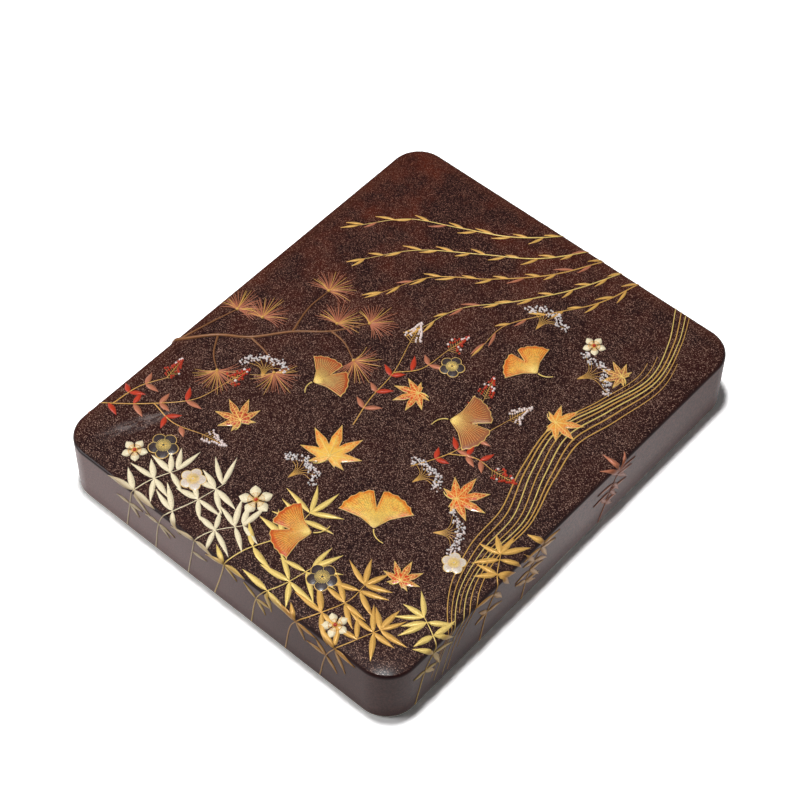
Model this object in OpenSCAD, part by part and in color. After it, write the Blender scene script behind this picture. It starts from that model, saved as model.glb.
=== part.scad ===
// Lacquered writing box for an ink stone. A full-depth lid slips over a shallow body, which holds
// a loose baseboard, the ink stone, a water dropper and two trays with the writing tools.
// Millimetres. Origin at the middle of the underside, +X right, +Y to the back, +Z up.

/* [Lid] */
// Width of the lid, left to right
lid_w = 195; // [190:1:215]
// Depth of the lid, front to back
lid_d = 240; // [236:1:270]
// Height of the closed box, from the table to the flat of the lid
box_h = 34; // [33:0.5:42]
// Plan radius of the lid's corners
lid_corner_r = 15; // [14:0.5:18]
// Thickness of the lid's walls
lid_wall = 3.5; // [2.8:0.1:4.5]
// Thickness of the lid's top at its middle
lid_top_t = 4; // [3.2:0.1:5]
// Width of the border that falls away towards the lid's edge
lid_fall_w = 12; // [8:0.5:13]
// Slope of that border where it meets the shoulder, in degrees
lid_fall_angle = 11; // [6:1:14]
// Radius of the shoulder between the border and the walls
lid_shoulder_r = 1.6; // [0.8:0.1:2.4]
// Height of the metal rim under the lid's walls
lid_rim_h = 0.8; // [0.6:0.1:1.6]
// Space between the lid's rim and the table
table_gap = 1; // [0.6:0.1:2]

/* [Body] */
// Play between the lid's walls and the body's
lid_play = 0.6; // [0.4:0.1:1]
// Thickness of the body's walls
body_wall = 3.2; // [2.6:0.1:4]
// Thickness of the body's floor
body_floor = 3; // [2.4:0.1:4]
// Chamfer round the underside
body_chamfer = 0.8; // [0.4:0.1:1.4]
// Height of the metal rim on the body's walls
body_rim_h = 1; // [0.8:0.1:1.6]
// Length of each block that carries the end of a tray
ledge_w = 24; // [18:1:26]
// Depth of those blocks, front to back
ledge_d = 5; // [4:0.5:7]

/* [Fits and edges] */
// Space between a loose piece and what it lies on
rest_gap = 0.3; // [0.2:0.05:0.4]
// Play between a cap, sheath or ring and what it slides on
slide_play = 0.15; // [0.1:0.05:0.2]
// Glue line between a plug and its socket
glue = 0.05; // [0.02:0.01:0.1]
// Small chamfer on exposed edges
edge = 0.5; // [0.3:0.1:0.7]

/* [Baseboard] */
// Thickness of the baseboard
board_t = 4; // [3:0.1:5]
// Play round the baseboard and round each seat in it
board_play = 0.4; // [0.3:0.05:0.6]
// Height of the lip round each seat
lip_h = 1.4; // [0.8:0.1:2]
// Width of that lip
lip_w = 2; // [1.4:0.1:2.4]
// Board left in front of the ink stone
stone_margin = 18; // [14:0.5:22]
// Board left between the ink stone and the water dropper
seat_gap = 17; // [12:0.5:22]
// Board left behind the water dropper
dropper_margin = 16.4; // [12:0.2:24]
// Plan radius of the stone, the dropper and their seats
seat_r = 4; // [3:0.5:6]

/* [Ink stone] */
// Space between the ink stone and each tray, seen from above
stone_side = 3.8; // [3:0.1:8]
// Depth of the ink stone
stone_d = 118; // [104:0.5:120]
// Thickness of the ink stone
stone_t = 14; // [12:0.5:15]
// Width of the stone's raised border
stone_border = 5; // [4:0.5:8]
// Plan radius of the hollow inside that border
stone_hollow_r = 10; // [6:0.5:14]
// Depth of the grinding face below the border
stone_face_drop = 2; // [1:0.1:3]
// Depth of the well below the border
well_drop = 8; // [6.5:0.1:9]
// Length of the well's flat bottom
well_d = 22; // [16:0.5:28]
// Length of the slope from the grinding face to the well
slope_d = 20; // [12:0.5:26]

/* [Water dropper] */
// Width of the water dropper
dropper_w = 46; // [40:0.5:60]
// Height of the water dropper's vessel
dropper_h = 11.5; // [9:0.5:13]
// Thickness of its sheet metal
dropper_wall = 1; // [0.8:0.1:1.4]
// Radius of the air hole and of the pouring hole
dropper_hole_r = 1.3; // [0.9:0.1:1.6]
// Width of the collar round each hole
dropper_collar_w = 1.4; // [1:0.1:2]
// Distance of the pouring hole from the vessel's sides
dropper_pour_in = 9; // [7:0.5:12]

/* [Trays] */
// Width of each tray
tray_w = 47; // [46:0.5:48]
// Height of each tray
tray_h = 14; // [13:0.1:15]
// Thickness of a tray's walls
tray_wall = 2.2; // [1.8:0.1:2.6]
// Thickness of a tray's floor
tray_floor = 2; // [1.6:0.1:2.6]
// Play between a tray and the body
tray_play = 0.4; // [0.3:0.05:0.6]
// Space between a tray's edge and the lid
tray_drop = 2; // [1.2:0.1:3]
// Finger space in front of the tools in a tray
tool_gap = 8; // [6:0.5:10]

/* [Brushes] */
// Length of a brush in its cap
brush_len = 172; // [160:1:174]
// Radius of a brush's shaft
brush_r = 3.9; // [3.4:0.1:4.2]
// Length of a brush's cap
cap_len = 40; // [36:0.5:42]
// Wall of a brush's cap
cap_wall = 1; // [0.8:0.1:1.2]
// Length of the horn collar that holds the hair
collar_len = 9; // [7:0.5:11]
// Length of the hair
hair_len = 26; // [22:0.5:27]
// Distance between the two brushes
brush_pitch = 19; // [16:0.5:21]
// Thickness of each notched rest
rest_t = 4; // [3:0.5:6]
// Distance of each rest from the tail and from the cap
rest_inset = 22; // [16:1:30]
// Radius of the hair's root, in the collar's socket
root_r = 2.4; // [2:0.1:2.6]
// Depth of the sockets for the shaft's spigot and for the root
socket_len = 3.5; // [2.5:0.5:4]

/* [Knife and awl] */
// Length of the paper knife in its sheath
knife_len = 150; // [140:1:156]
// Width of the knife's handle
knife_w = 11; // [9:0.5:12]
// Thickness of the knife's handle
knife_t = 6.5; // [5.5:0.1:8]
// Length of the knife's sheath
sheath_len = 55; // [50:1:58]
// Width of the knife's blade
blade_w = 6.4; // [5:0.1:6.8]
// Thickness of the knife's blade
blade_t = 1; // [0.8:0.1:1.4]
// Length of the tang inside the knife's handle
tang_len = 14; // [10:1:20]
// Length of the awl in its cap
awl_len = 150; // [140:1:156]
// Radius of the awl's handle
awl_r = 3.8; // [3.2:0.1:4.2]
// Length of the awl's cap
awl_cap_len = 50; // [44:1:56]
// Radius of the awl's spike
spike_r = 1.2; // [0.9:0.1:1.4]
// Radius of the spigot that the awl's cap grips
spigot_r = 2.4; // [2:0.1:2.7]
// Length of that spigot
spigot_len = 5; // [4:0.5:6]
// Solid end left in a sheath or cap beyond the point
point_end = 6; // [4:0.5:8]

/* [Ink stick and holder] */
// Length of the holder
holder_len = 95; // [85:1:110]
// Width of the holder
holder_w = 11.4; // [10.5:0.1:12]
// Thickness of the holder
holder_t = 9; // [8.5:0.1:10]
// Length of the holder's jaws
jaw_len = 46; // [40:1:52]
// Thickness of the ink stick
ink_t = 4.6; // [4:0.1:5]
// Length of the ink stick
ink_len = 60; // [50:1:70]
// Length of the ink stick that the jaws hold
ink_grip = 25; // [18:1:30]
// Depth of the sunk panel on the stick
ink_panel = 0.4; // [0.3:0.1:0.8]
// Thickness of the ring's metal
ring_t = 0.9; // [0.7:0.1:1.2]
// Length of the ring along the holder
ring_len = 5; // [4:0.5:7]
// Distance of the ring from the jaws' ends
ring_inset = 7; // [4:0.5:10]

/* [Inlays] */
// Thickness of the inlaid leaves and blossoms
inlay_t = 0.6; // [0.4:0.1:1.2]

/* [Hidden] */

$fn = 48;
arc_steps = 10; // facets of a rounded profile
over = 1;       // how far a cut runs past the face that it opens

// Heights, from the table up
lid_bottom = table_gap;
lid_ceiling = box_h - lid_top_t;
body_top = lid_ceiling - body_rim_h;
board_top = body_floor + board_t;
tray_top = lid_ceiling - tray_drop;
tray_bottom = tray_top - tray_h;
tray_bed = tray_bottom + tray_floor;

// The body's plan and the room inside it
body_w = lid_w - 2*(lid_wall + lid_play);
body_d = lid_d - 2*(lid_wall + lid_play);
body_r = lid_corner_r - lid_wall - lid_play;
bay_w = body_w - 2*body_wall;
bay_d = body_d - 2*body_wall;
bay_r = body_r - body_wall;

// The trays
tray_d = bay_d - 2*tray_play;
tray_r = bay_r - tray_play;
tray_x = bay_w/2 - tray_play - tray_w/2;
tray_front = -tray_d/2 + tray_wall;

// The stone fills the room between the trays, and the dropper the board behind the stone
stone_w = bay_w - 2*(tray_play + tray_w + stone_side);
stone_y = -bay_d/2 + stone_margin + stone_d/2;
dropper_d = bay_d - stone_margin - stone_d - seat_gap - dropper_margin;
dropper_y = bay_d/2 - dropper_margin - dropper_d/2;

// The tools: each starts at tool_y and points to the back
tool_y = tray_front + tool_gap;
collar_r = brush_r - edge;
bore_r = collar_r + slide_play;   // bore of a brush's cap
cap_r = brush_r + cap_wall;
shaft_len = brush_len - cap_len;
brush_z = tray_bed + cap_r + rest_gap;
brush_x = [tray_x - brush_pitch/2, tray_x + brush_pitch/2];
knife_z = tray_bed + rest_gap + knife_t/2;
handle_len = knife_len - sheath_len;
blade_len = sheath_len - point_end;
awl_z = tray_bed + rest_gap + awl_r;
grip_len = awl_len - awl_cap_len;
spike_len = awl_cap_len - point_end;    // what stands out of the awl's handle
ring_in = slide_play + ring_t;          // how far the ring stands out round the holder
holder_z = tray_bed + rest_gap + ring_in + holder_t/2;

// The left tray's tools lie side by side with equal gaps
tool_space = (tray_w - 2*tray_wall - holder_w - 2*ring_in - knife_w - 2*awl_r)/4;
holder_x = -tray_x - tray_w/2 + tray_wall + tool_space + ring_in + holder_w/2;
knife_x = holder_x + holder_w/2 + ring_in + tool_space + knife_w/2;
awl_x = knife_x + knife_w/2 + tool_space + awl_r;

// Points of an arc about [cx, cy] from angle a0 to a1
function arc(cx, cy, r, a0, a1, n = arc_steps) =
    [for (i = [0:n]) let (a = a0 + (a1 - a0)*i/n) [cx + r*cos(a), cy + r*sin(a)]];

// A point at angle a from +Y, turned clockwise
function ray(a, r) = [r*sin(a), r*cos(a)];

// Sweeps a profile round a rounded rectangle: the profile's x is 0 at the corner's centre and r at
// the outside, and its y is the height. Each pass makes one side and the corner after it.
module sweep(w, d, r) {
    for (side = [0:3]) {
        across = side % 2 == 0 ? w : d;
        along = side % 2 == 0 ? d : w;
        rotate(90*side) {
            translate([across/2 - r, along/2 - r, 0]) {
                rotate([90, 0, 0]) linear_extrude(along - 2*r) children();
                rotate_extrude(angle = 90) children();
            }
        }
    }
}

// The flat middle that a sweep leaves open
module middle(w, d, r, z, t) {
    translate([r - w/2, r - d/2, z]) cube([w - 2*r, d - 2*r, t]);
}

// A flat slab with rounded corners
module slab(w, d, r, t) {
    sweep(w, d, r) square([r, t]);
    middle(w, d, r, 0, t);
}

// A strip with four chamfered edges, as a profile from x0 to x1 and y0 to y1
module strip(x0, x1, y0, y1, c) {
    polygon([
        [x0 + c, y0], [x1 - c, y0], [x1, y0 + c], [x1, y1 - c],
        [x1 - c, y1], [x0 + c, y1], [x0, y1 - c], [x0, y0 + c]
    ]);
}

// A rod along +Y that starts at y = 0
module rod(r, len) {
    rotate([-90, 0, 0]) cylinder(r = r, h = len);
}

// ---- Lid ----

module lid_profile() {
    r = lid_corner_r;
    rs = lid_shoulder_r;
    run = lid_fall_w - rs*(1 - sin(lid_fall_angle));
    fall_r = run/sin(lid_fall_angle);
    drop = fall_r*(1 - cos(lid_fall_angle));
    shoulder_z = box_h - drop - rs*cos(lid_fall_angle);
    wall_bottom = lid_bottom + lid_rim_h;
    polygon(concat(
        [[0, lid_ceiling], [0, box_h]],
        arc(r - lid_fall_w, box_h - fall_r, fall_r, 90, 90 - lid_fall_angle, 6),
        arc(r - rs, shoulder_z, rs, 90 - lid_fall_angle, 0),
        [[r, wall_bottom], [r - lid_wall, wall_bottom], [r - lid_wall, lid_ceiling]]
    ));
}

module lid_shell() {
    color("#3a2420") {
        sweep(lid_w, lid_d, lid_corner_r) lid_profile();
        middle(lid_w, lid_d, lid_corner_r, lid_ceiling, lid_top_t);
    }
}

module lid_rim() {
    color("#b9b2a0") sweep(lid_w, lid_d, lid_corner_r)
        strip(lid_corner_r - lid_wall, lid_corner_r, lid_bottom, lid_bottom + lid_rim_h, lid_rim_h/4);
}

// ---- Body ----

module body_box() {
    r = body_r;
    c = body_chamfer;
    color("#2c1b19") {
        sweep(body_w, body_d, r) polygon([
            [0, 0], [r - c, 0], [r, c], [r, body_top],
            [r - body_wall, body_top], [r - body_wall, body_floor], [0, body_floor]
        ]);
        middle(body_w, body_d, r, 0, body_floor);
    }
}

module body_rim() {
    color("#b9b2a0") sweep(body_w, body_d, body_r)
        strip(body_r - body_wall, body_r, body_top, lid_ceiling, body_rim_h/4);
}

// The blocks that carry the ends of the trays
module tray_ledges() {
    color("#2c1b19") for (sx = [-1, 1], sy = [-1, 1])
        translate([sx*tray_x - ledge_w/2, sy*(bay_d - ledge_d)/2 - ledge_d/2, body_floor])
            cube([ledge_w, ledge_d, tray_bottom - body_floor]);
}

// ---- Baseboard ----

// One opening in the board, and the bevelled lip that stands round it
module seat_cut(w, d) {
    translate([0, 0, body_floor - over])
        slab(w + 2*board_play, d + 2*board_play, seat_r + board_play, board_t + 2*over);
}

module seat_lip(w, d) {
    reach = board_play + lip_w;
    sweep(w + 2*reach, d + 2*reach, seat_r + reach)
        strip(seat_r + board_play, seat_r + reach, board_top - lip_w/4, board_top + lip_h, lip_w/4);
}

module baseboard() {
    color("#241614") {
        difference() {
            translate([0, 0, body_floor])
                slab(bay_w - 2*board_play, bay_d - 2*board_play, bay_r - board_play, board_t);
            translate([0, stone_y, 0]) seat_cut(stone_w, stone_d);
            translate([0, dropper_y, 0]) seat_cut(dropper_w, dropper_d);
            for (sx = [-1, 1], sy = [-1, 1]) {
                notch_w = ledge_w + 2*board_play;
                notch_d = 2*(ledge_d + board_play);
                translate([sx*tray_x - notch_w/2, sy*bay_d/2 - notch_d/2, body_floor - over])
                    cube([notch_w, notch_d, board_t + 2*over]);
            }
        }
        translate([0, stone_y, 0]) seat_lip(stone_w, stone_d);
        translate([0, dropper_y, 0]) seat_lip(dropper_w, dropper_d);
    }
}

// ---- Ink stone ----

// The hollow in the stone's top: a grinding face that runs down an ogee into the well at the back
module stone_hollow() {
    back = stone_d/2 - stone_border;
    face_z = stone_t - stone_face_drop;
    well_z = stone_t - well_drop;
    slope = [for (i = [0:arc_steps]) let (t = i/arc_steps)
        [back - well_d - slope_d*(1 - t), well_z + (face_z - well_z)*(1 + cos(180*t))/2]];
    intersection() {
        rotate([90, 0, 90]) translate([0, 0, -stone_w/2]) linear_extrude(stone_w) polygon(concat(
            [[-back - over, stone_t + over], [-back - over, face_z]], slope,
            [[back + over, well_z], [back + over, stone_t + over]]
        ));
        slab(stone_w - 2*stone_border, 2*back, stone_hollow_r, stone_t + over);
    }
}

module ink_stone() {
    color("#34363a") translate([0, stone_y, body_floor]) difference() {
        union() {
            sweep(stone_w, stone_d, seat_r) polygon([
                [0, 0], [seat_r - edge, 0], [seat_r, edge], [seat_r, stone_t - edge],
                [seat_r - edge, stone_t], [0, stone_t]
            ]);
            middle(stone_w, stone_d, seat_r, 0, stone_t);
        }
        stone_hollow();
    }
}

// ---- Water dropper ----

module dropper_vessel() {
    r = seat_r;
    color("#8f8a80") translate([0, dropper_y, body_floor]) {
        sweep(dropper_w, dropper_d, r) polygon([
            [0, 0], [r - edge, 0], [r, edge], [r, dropper_h],
            [r - dropper_wall, dropper_h], [r - dropper_wall, dropper_wall], [0, dropper_wall]
        ]);
        middle(dropper_w, dropper_d, r, 0, dropper_wall);
    }
}

// A stepped collar round one of the dropper's holes
module dropper_collar() {
    cylinder(r = dropper_hole_r + dropper_collar_w, h = dropper_wall + edge);
    cylinder(r = dropper_hole_r + dropper_collar_w/2, h = dropper_wall + 2*edge);
}

module dropper_cover() {
    pour = [dropper_w/2 - dropper_pour_in, dropper_pour_in - dropper_d/2, 0];
    t = dropper_wall;
    color("#9c968a") translate([0, dropper_y, body_floor + dropper_h]) difference() {
        union() {
            sweep(dropper_w, dropper_d, seat_r)
                polygon([[0, 0], [seat_r, 0], [seat_r, t - edge], [seat_r - edge, t], [0, t]]);
            middle(dropper_w, dropper_d, seat_r, 0, t);
            dropper_collar();
            translate(pour) dropper_collar();
        }
        for (at = [[0, 0, 0], pour])
            translate(at - [0, 0, over]) cylinder(r = dropper_hole_r, h = t + 2*edge + 2*over);
    }
}

// ---- Trays ----

module tray() {
    r = tray_r;
    c = edge;
    color("#2c1b19") translate([0, 0, tray_bottom]) {
        sweep(tray_w, tray_d, r) polygon([
            [0, 0], [r - c, 0], [r, c], [r, tray_h - c], [r - c, tray_h], [r - tray_wall + c, tray_h],
            [r - tray_wall, tray_h - c], [r - tray_wall, tray_floor], [0, tray_floor]
        ]);
        middle(tray_w, tray_d, r, 0, tray_floor);
    }
}

module left_tray() {
    translate([-tray_x, 0, 0]) tray();
}

module right_tray() {
    translate([tray_x, 0, 0]) tray();
}

// Two bars across the right tray, each with a notch for either brush
module brush_rests() {
    bar_w = tray_w - 2*tray_wall - 2*rest_gap;
    color("#b08a4a") for (y = [rest_inset, shaft_len - rest_inset - rest_t]) translate([0, tool_y + y, 0])
        difference() {
            translate([tray_x - bar_w/2, 0, tray_bed]) cube([bar_w, rest_t, brush_z - tray_bed]);
            for (x = brush_x) translate([x, -over, brush_z]) rod(brush_r + slide_play, rest_t + 2*over);
        }
}

// ---- Brushes ----

// A turned piece along +Y, from points of [radius, distance from its front]
module turned(points) {
    rotate([-90, 0, 0]) rotate_extrude() polygon(points);
}

// A bamboo shaft with a turned butt, a groove below the cap and a spigot for the collar
module brush_shaft() {
    r = brush_r;
    len = shaft_len;
    neck = 0.75*r;
    color("#6b2b1a") turned([
        [0, 0], [0.6*r, 0], [0.85*r, 0.2*r], [0.9*r, 0.8*r], [neck, r], [neck, 1.2*r], [r, 1.4*r],
        [r, len - r], [0.92*r, len - 0.95*r], [0.92*r, len - 0.75*r], [r, len - 0.7*r], [r, len],
        [root_r, len], [root_r, len + socket_len], [0, len + socket_len]
    ]);
}

module brush_collar() {
    in_r = root_r + glue;
    color("#cdbf9c") turned([
        [in_r, 0], [collar_r, 0], [collar_r, 0.7*collar_len], [collar_r - edge, collar_len],
        [in_r, collar_len]
    ]);
}

// The hair's root sits in the collar; from there it swells a little and draws in to a point
module brush_hair() {
    steps = 14;
    color("#e6dcc6") turned(concat([[0, -socket_len], [root_r, -socket_len]], [
        for (i = [0:steps]) let (t = i/steps) [root_r*(1 - pow(t, 2.2))*(1 + 0.4*t), hair_len*t]
    ]));
}

module brush_cap() {
    deep = collar_len + hair_len + 2*rest_gap;
    r = cap_r;
    color("#6b2b1a") turned([
        [bore_r, 0], [r - edge/2, 0], [r, edge/2], [r, cap_len - 0.4*r], [0.85*r, cap_len - 0.1*r],
        [0.6*r, cap_len], [0, cap_len], [0, deep], [bore_r, deep]
    ]);
}

// Puts a piece of brush n where it lies, dy from the brush's tail
module on_brush(n, dy) {
    translate([brush_x[n - 1], tool_y + dy, brush_z]) children();
}

// ---- Paper knife ----

// The section that the knife's handle and sheath share, with round edges
module knife_section() {
    square([knife_w - knife_t, knife_t], center = true);
    for (sx = [-1, 1]) translate([sx*(knife_w - knife_t)/2, 0]) circle(knife_t/2);
}

// A slot for the blade, with some play, from y0 to y1 along the knife
module blade_slot(y0, y1, play) {
    w = blade_w + 2*play;
    t = blade_t + 2*play;
    translate([-w/2, y0, -t/2]) cube([w, y1 - y0, t]);
}

module knife_handle() {
    color("#5a1f16") translate([knife_x, tool_y, knife_z]) difference() {
        rotate([-90, 0, 0]) linear_extrude(handle_len) knife_section();
        blade_slot(handle_len - tang_len, handle_len + over, glue);
    }
}

// A single-edged blade with a slanting tip
module knife_blade() {
    tip = tang_len + blade_len;
    color("#c6c9cc") translate([knife_x, tool_y + handle_len - tang_len, knife_z - blade_t/2])
        linear_extrude(blade_t) polygon([
            [-blade_w/2, 0], [blade_w/2, 0], [blade_w/2, tip - 2*blade_w], [-blade_w/2, tip]
        ]);
}

module knife_sheath() {
    color("#5a1f16") translate([knife_x, tool_y + handle_len, knife_z]) difference() {
        rotate([-90, 0, 0]) linear_extrude(sheath_len) knife_section();
        blade_slot(-over, blade_len + over, slide_play);
    }
}

// ---- Awl ----

// A turned handle with a groove, a spigot for the cap and a socket for the spike
module awl_handle() {
    r = awl_r;
    len = grip_len;
    in_r = spike_r + glue;
    tang = 1.5*spigot_len;
    color("#5a1f16") translate([awl_x, tool_y, awl_z]) turned([
        [0, 0], [0.7*r, 0], [r, 0.3*r], [r, len - 2.1*r], [0.92*r, len - 2*r], [0.92*r, len - 1.7*r],
        [r, len - 1.6*r], [r, len], [spigot_r, len], [spigot_r, len + spigot_len],
        [in_r, len + spigot_len], [in_r, len - tang], [0, len - tang]
    ]);
}

module awl_spike() {
    tang = 1.5*spigot_len;
    len = tang + spike_len;
    color("#c6c9cc") translate([awl_x, tool_y + grip_len - tang, awl_z]) turned([
        [0, 0], [spike_r, 0], [spike_r, 0.5*len], [0.15*spike_r, len - 0.3*spike_r], [0, len]
    ]);
}

module awl_cap() {
    r = awl_r;
    len = awl_cap_len;
    mouth_r = spigot_r + slide_play;
    narrow_r = spike_r + slide_play;
    mouth_len = spigot_len + rest_gap;
    deep = spike_len + rest_gap;
    color("#5a1f16") translate([awl_x, tool_y + grip_len, awl_z]) turned([
        [mouth_r, 0], [r, 0], [r, len - 0.3*r], [0.7*r, len], [0, len], [0, deep],
        [narrow_r, deep], [narrow_r, mouth_len], [mouth_r, mouth_len]
    ]);
}

// ---- Ink stick and its holder ----

// A split bar whose jaws grip the stick
module holder_grip() {
    slot_t = ink_t + 2*slide_play;
    slot_w = holder_w + 2*over;
    color("#43190f") translate([holder_x, tool_y, holder_z]) difference() {
        rotate([-90, 0, 0]) linear_extrude(holder_len)
            strip(-holder_w/2, holder_w/2, -holder_t/2, holder_t/2, 2*edge);
        translate([-slot_w/2, holder_len - jaw_len, -slot_t/2]) cube([slot_w, jaw_len + over, slot_t]);
    }
}

// The ring slides along the holder and closes its jaws
module holder_ring() {
    in_x = holder_w/2 + slide_play;
    in_z = holder_t/2 + slide_play;
    color("#b9b2a0") translate([holder_x, tool_y + holder_len - ring_inset - ring_len, holder_z])
        rotate([-90, 0, 0]) linear_extrude(ring_len) difference() {
            strip(-in_x - ring_t, in_x + ring_t, -in_z - ring_t, in_z + ring_t, 2*edge);
            strip(-in_x, in_x, -in_z, in_z, edge);
        }
}

// A pressed stick with a sunk panel on its upper face
module ink_stick() {
    w = holder_w - 2*edge;
    margin = 2.5*edge;
    color("#1c1c20") translate([holder_x, tool_y + holder_len - ink_grip, holder_z]) difference() {
        rotate([-90, 0, 0]) linear_extrude(ink_len) strip(-w/2, w/2, -ink_t/2, ink_t/2, edge);
        translate([margin - w/2, ink_grip + 2*margin, ink_t/2 - ink_panel])
            cube([w - 2*margin, ink_len - ink_grip - 3*margin, ink_panel + over]);
    }
}

// ---- Inlays on the lid ----

// Each inlay is [across, along, turn, reach]. Its place is a share of the lid's flat field, from
// the middle to the field's edge: a leaf's or blossom's centre, or the foot of a fan.
maples = [
    [0, -0.46, 24, 18], [0.66, -0.28, -38, 15], [-0.5, -0.57, 66, 13], [0.07, 0.02, 150, 12],
    [0.73, 0.28, -58, 13], [0.77, -0.72, 14, 11], [0.8, 0.65, 104, 10]
];
ginkgos = [
    [0.47, -0.61, 35, 21], [0.3, 0, -60, 20], [0.26, -0.78, 120, 19], [-0.39, -0.23, -20, 17],
    [0.46, 0.43, 80, 17]
];
plums = [
    [-0.68, -0.87, 0, 7], [-0.42, -0.91, 20, 6], [0.47, -0.91, 0, 7], [0.9, -0.52, 30, 5.5],
    [0.09, 0.22, 10, 6]
];
field_w = lid_w - 2*lid_fall_w;
field_d = lid_d - 2*lid_fall_w;

// A leaf with seven pointed lobes, the longest towards its turn
lobe_reach = [0.55, 0.8, 0.95, 1, 0.95, 0.8, 0.55];

module maple_leaf(reach) {
    pitch = 41;
    notch = 0.36*reach;
    polygon(concat(
        [for (i = [0:6]) let (a = pitch*(i - 3), r = reach*lobe_reach[i])
            each [ray(a - pitch/2, notch), ray(a - pitch/3, 0.58*r), ray(a, r), ray(a + pitch/3, 0.58*r)]],
        [ray(3.5*pitch, notch), ray(180, notch/3)]
    ));
}

// A fan with hollow sides, a wavy edge and a split in the middle
module ginkgo_leaf(reach) {
    spread = 60;
    side = [[25, 0.06], [47, 0.4], [57, 0.72]];
    waves = 10;
    polygon(concat(
        [for (p = side) ray(-p[0], p[1]*reach)],
        [for (i = [-waves:waves]) let (droop = 0.1*pow(i/waves, 2), wave = 0.03*(abs(i) % 2))
            ray(spread*i/waves, reach*(i == 0 ? 0.55 : 1 - droop - wave))],
        [for (k = [2:-1:0]) ray(side[k][0], side[k][1]*reach)]
    ));
}

// Five round petals
module plum_blossom(reach) {
    circle(0.5*reach);
    for (k = [0:4]) rotate(72*k) translate([0, 0.56*reach]) circle(0.44*reach);
}

// Lays the flat shape of an inlay at its place
module inlay(at) {
    translate([at[0]*field_w/2, at[1]*field_d/2, box_h]) rotate(at[2]) linear_extrude(inlay_t) children();
}

module maple_inlays() {
    color("#c8601e") for (at = maples) inlay(at) maple_leaf(at[3]);
}

module ginkgo_inlays() {
    color("#d99a3a") for (at = ginkgos) inlay(at) ginkgo_leaf(at[3]);
}

module plum_inlays() {
    color("#2b2b33") for (at = plums) inlay(at) plum_blossom(at[3]);
}

lid_shell();
lid_rim();
maple_inlays();
ginkgo_inlays();
plum_inlays();
body_box();
body_rim();
tray_ledges();
baseboard();
ink_stone();
dropper_vessel();
dropper_cover();
left_tray();
right_tray();
brush_rests();
on_brush(1, 0) brush_shaft();  // brush_1_shaft
on_brush(1, shaft_len) brush_collar();  // brush_1_collar
on_brush(1, shaft_len + collar_len) brush_hair();  // brush_1_hair
on_brush(1, shaft_len) brush_cap();  // brush_1_cap
on_brush(2, 0) brush_shaft();  // brush_2_shaft
on_brush(2, shaft_len) brush_collar();  // brush_2_collar
on_brush(2, shaft_len + collar_len) brush_hair();  // brush_2_hair
on_brush(2, shaft_len) brush_cap();  // brush_2_cap
knife_handle();
knife_blade();
knife_sheath();
awl_handle();
awl_spike();
awl_cap();
holder_grip();
holder_ring();
ink_stick();
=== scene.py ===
import random
from math import atan2, cos, degrees, pi, radians, sin, sqrt, tan

import bmesh
import bpy
import numpy as np
from mathutils import Matrix, Vector


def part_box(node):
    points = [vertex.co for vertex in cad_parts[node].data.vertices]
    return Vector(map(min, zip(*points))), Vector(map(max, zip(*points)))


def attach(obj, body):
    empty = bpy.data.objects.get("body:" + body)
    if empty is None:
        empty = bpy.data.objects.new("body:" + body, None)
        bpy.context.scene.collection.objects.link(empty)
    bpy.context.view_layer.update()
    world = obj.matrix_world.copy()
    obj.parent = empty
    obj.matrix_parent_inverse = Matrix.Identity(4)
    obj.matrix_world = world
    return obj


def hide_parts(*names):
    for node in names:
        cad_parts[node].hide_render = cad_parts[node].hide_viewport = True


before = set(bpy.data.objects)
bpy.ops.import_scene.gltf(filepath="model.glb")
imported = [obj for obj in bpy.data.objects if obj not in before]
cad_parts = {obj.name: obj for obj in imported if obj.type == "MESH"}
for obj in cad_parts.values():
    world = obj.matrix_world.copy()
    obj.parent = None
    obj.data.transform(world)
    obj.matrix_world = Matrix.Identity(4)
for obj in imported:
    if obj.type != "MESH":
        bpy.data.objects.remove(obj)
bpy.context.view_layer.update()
mm = 0.001
random.seed(7)


def nodeIn(tree, kind, inputs=None, **settings):
    # adds a shader node, sets its properties, and fills or links its sockets
    made = tree.nodes.new("ShaderNode" + kind)
    for key, value in settings.items():
        setattr(made, key, value)
    for key, value in (inputs or {}).items():
        if isinstance(value, bpy.types.NodeSocket):
            tree.links.new(value, made.inputs[key])
        else:
            made.inputs[key].default_value = value
    return made


def nodeFrom(kind, inputs, **settings):
    # the same in the tree that its inputs come from
    tree = next(value.id_data for value in inputs.values() if isinstance(value, bpy.types.NodeSocket))
    return nodeIn(tree, kind, inputs, **settings)


def seen(red, green, blue):
    # a colour as it is seen, 0 to 255, made linear for a shader
    def linear(c):
        c = c/255
        return c/12.92 if c <= 0.04045 else ((c + 0.055)/1.055)**2.4
    return (linear(red), linear(green), linear(blue), 1)


def startMaterial(name, **sockets):
    # a new Principled material; sockets are set on the shader itself
    mat = bpy.data.materials.new(name)
    mat.use_nodes = True
    tree = mat.node_tree
    for key, value in sockets.items():
        tree.nodes["Principled BSDF"].inputs[key.replace("_", " ")].default_value = value
    return mat, nodeIn(tree, "TexCoord").outputs["Object"]


def finishMaterial(mat, colour, height, strength, distance, rough=None):
    # links the colour, a bump so many millimetres high, and the roughness where it varies
    bump = nodeFrom("Bump", {"Height": height, "Strength": strength, "Distance": distance*mm}).outputs[0]
    tree = mat.node_tree
    for key, socket in (("Base Color", colour), ("Normal", bump), ("Roughness", rough)):
        if socket is not None:
            tree.links.new(socket, tree.nodes["Principled BSDF"].inputs[key])
    return mat


def mixed(factor, first, second):
    return nodeFrom("Mix", {0: factor, 6: first, 7: second}, data_type="RGBA").outputs[2]


def sums(operation, first, second=0.0, clamp=False):
    return nodeFrom("Math", {0: first, 1: second}, operation=operation, use_clamp=clamp).outputs[0]


def times(first, second):
    return sums("MULTIPLY", first, second)


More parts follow.
